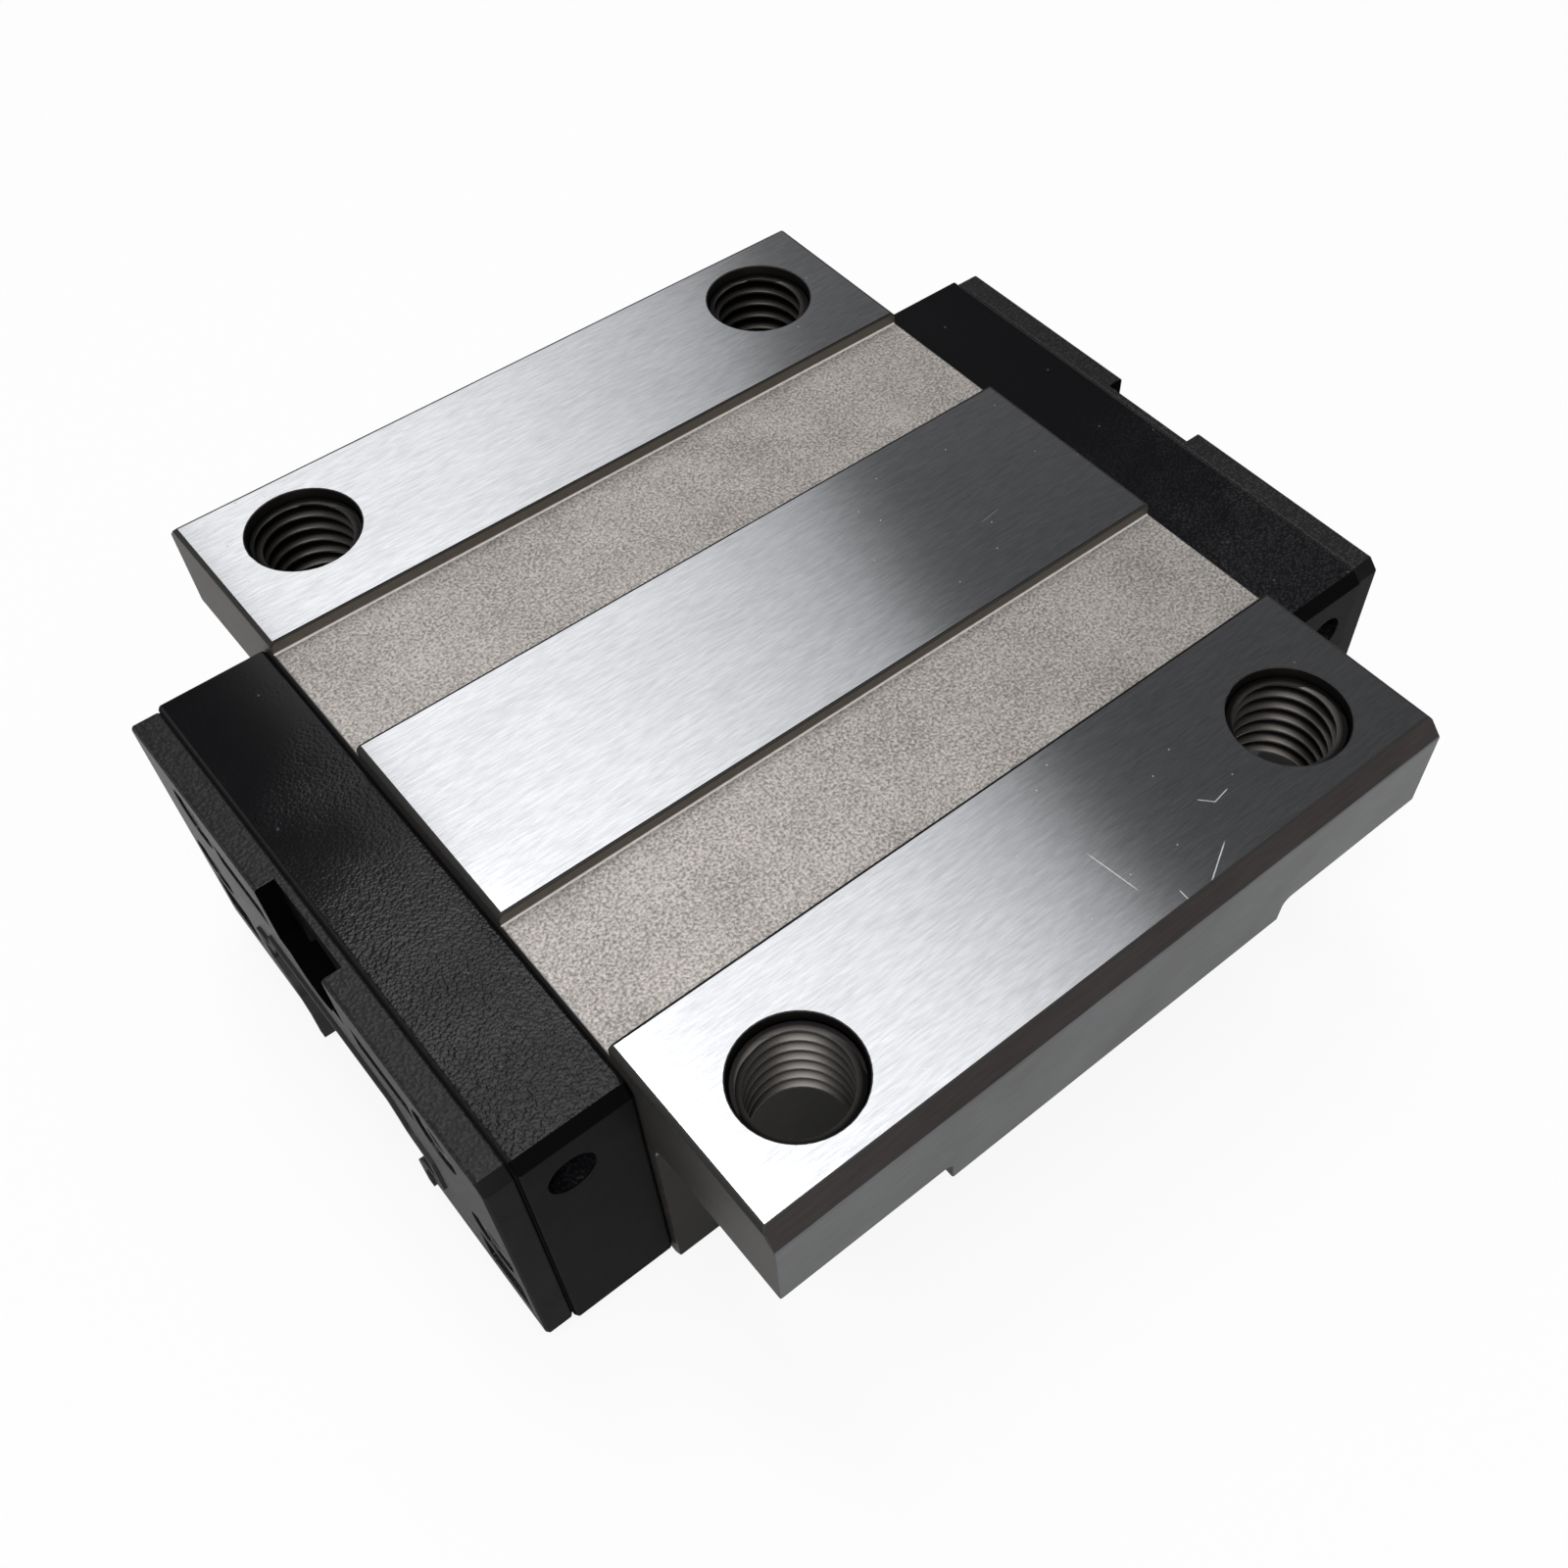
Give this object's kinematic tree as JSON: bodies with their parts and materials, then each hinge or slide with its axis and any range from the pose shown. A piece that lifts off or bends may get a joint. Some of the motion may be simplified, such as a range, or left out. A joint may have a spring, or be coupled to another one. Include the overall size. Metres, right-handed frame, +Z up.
{
  "type": "linear bearing block",
  "caption": "Flanged carriage of a profiled linear guide: ground steel saddle with tapped flange holes, moulded end caps and end plates, and ball circuits inside.",
  "frame": {"origin": "middle of the underside of the block, halfway along its travel", "axes": "+X along the direction of travel, +Y across the rail, +Z up out of the mounting face"},
  "size_m": [0.0968, 0.09, 0.0335],
  "materials": {
    "ground_steel": "ground on top, shot-blasted in the two bands",
    "cap_plastic": "fine moulded texture",
    "plate_plastic": "coarser moulded texture",
    "seal_rubber": "matt",
    "ball_steel": "polished",
    "guide_plastic": "smooth",
    "strip_plastic": "smooth",
    "wire_steel": "drawn",
    "screw_steel": "black oxide"
  },
  "bodies": {
    "root": {"carriage_body": "ground_steel", "end_cap_front": "cap_plastic", "end_plate_front": "plate_plastic", "end_seal_front": "seal_rubber", "cap_screws_front": "screw_steel", "grease_plug_front": "screw_steel", "return_guide_front_left": "guide_plastic", "return_guide_front_right": "guide_plastic", "end_cap_rear": "cap_plastic", "end_plate_rear": "plate_plastic", "end_seal_rear": "seal_rubber", "cap_screws_rear": "screw_steel", "grease_plug_rear": "screw_steel", "return_guide_rear_left": "guide_plastic", "return_guide_rear_right": "guide_plastic", "retainer_strip_left": "strip_plastic", "bottom_seal_left": "seal_rubber", "ball_circuit_upper_left": "ball_steel", "retaining_wire_upper_left": "wire_steel", "ball_circuit_lower_left": "ball_steel", "retaining_wire_lower_left": "wire_steel", "retainer_strip_right": "strip_plastic", "bottom_seal_right": "seal_rubber", "ball_circuit_upper_right": "ball_steel", "retaining_wire_upper_right": "wire_steel", "ball_circuit_lower_right": "ball_steel", "retaining_wire_lower_right": "wire_steel"}
  },
  "joints": []
}
